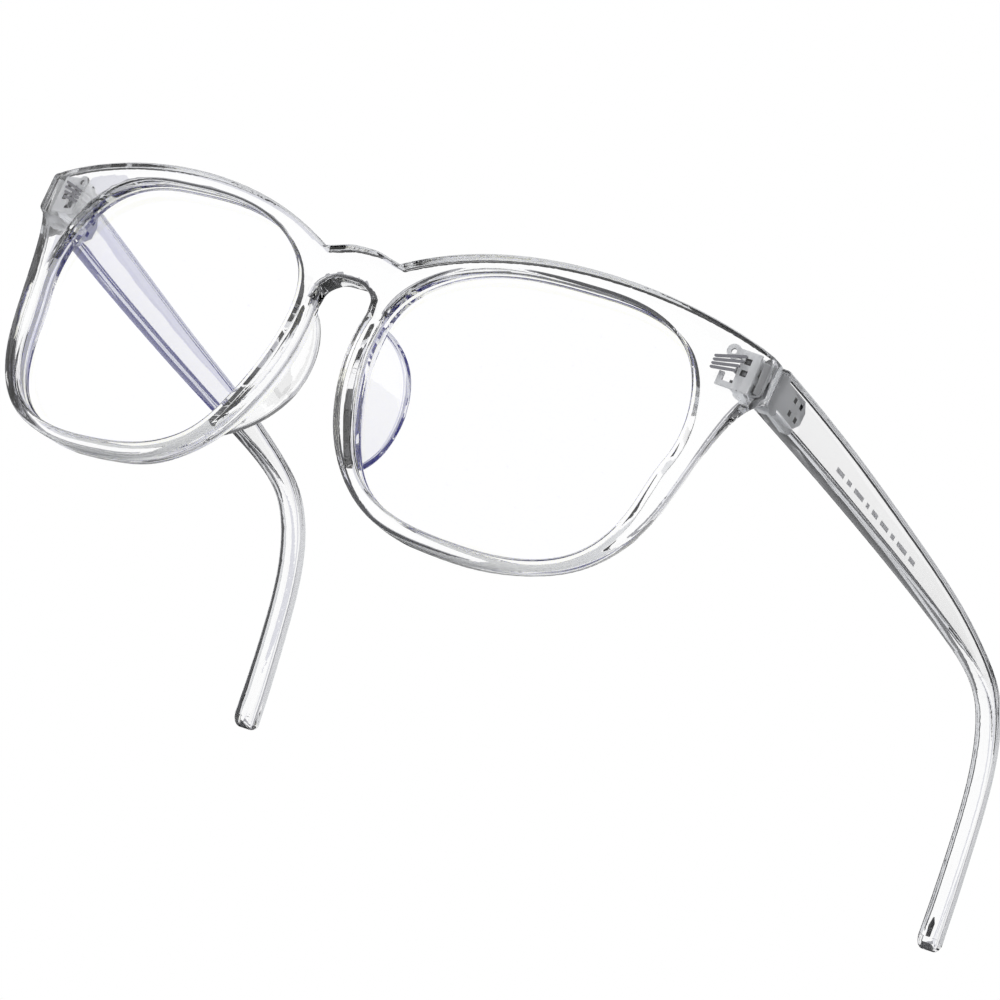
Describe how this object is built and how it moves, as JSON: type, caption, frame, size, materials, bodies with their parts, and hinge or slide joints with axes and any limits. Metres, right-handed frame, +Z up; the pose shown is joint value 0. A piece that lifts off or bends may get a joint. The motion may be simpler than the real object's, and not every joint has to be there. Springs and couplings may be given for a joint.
{
  "type": "blue light glasses",
  "caption": "Clear plastic glasses with keyhole bridge, plain lenses in curved rims, nose pads and temples that fold on metal barrel hinges.",
  "frame": {"origin": "on the surface the glasses stand on, under the middle of their bounding box", "axes": "+Z up with the temples level, -Y towards what the wearer looks at, +X the wearer's left; the hinge axes are parallel to Z"},
  "size_m": [0.1472, 0.134, 0.0494],
  "materials": {
    "front_plastic": "polished clear moulded plastic",
    "temple_plastic": "polished clear moulded plastic",
    "pad_plastic": "polished clear plastic",
    "lens": "clear plastic with a faint violet-blue coating reflection",
    "hinge_metal": "nickel-silver, lightly brushed",
    "screw_metal": "turned steel",
    "bar_metal": "polished"
  },
  "bodies": {
    "front": {"front_frame": "front_plastic", "lens_left": "lens", "lens_right": "lens", "nose_pad_left": "pad_plastic", "nose_pad_right": "pad_plastic", "front_hinge_left": "hinge_metal", "front_hinge_right": "hinge_metal", "hinge_screw_left": "screw_metal", "hinge_screw_right": "screw_metal", "corner_bar_1_left": "bar_metal", "corner_bar_2_left": "bar_metal", "corner_bar_3_left": "bar_metal", "corner_bar_4_left": "bar_metal", "corner_bar_1_right": "bar_metal", "corner_bar_2_right": "bar_metal", "corner_bar_3_right": "bar_metal", "corner_bar_4_right": "bar_metal"},
    "left_temple": {"temple_left": "temple_plastic", "temple_hinge_left": "hinge_metal"},
    "right_temple": {"temple_right": "temple_plastic", "temple_hinge_right": "hinge_metal"}
  },
  "joints": [
    {"name": "left_temple_fold", "type": "hinge", "parent": "front", "child": "left_temple", "pos_m": [0.0637, -0.05228, 0.04225], "axis": [0, 0, 1], "range_deg": [0, 90]},
    {"name": "right_temple_fold", "type": "hinge", "parent": "front", "child": "right_temple", "pos_m": [-0.0637, -0.05228, 0.04225], "axis": [0, 0, -1], "range_deg": [0, 79]}
  ]
}
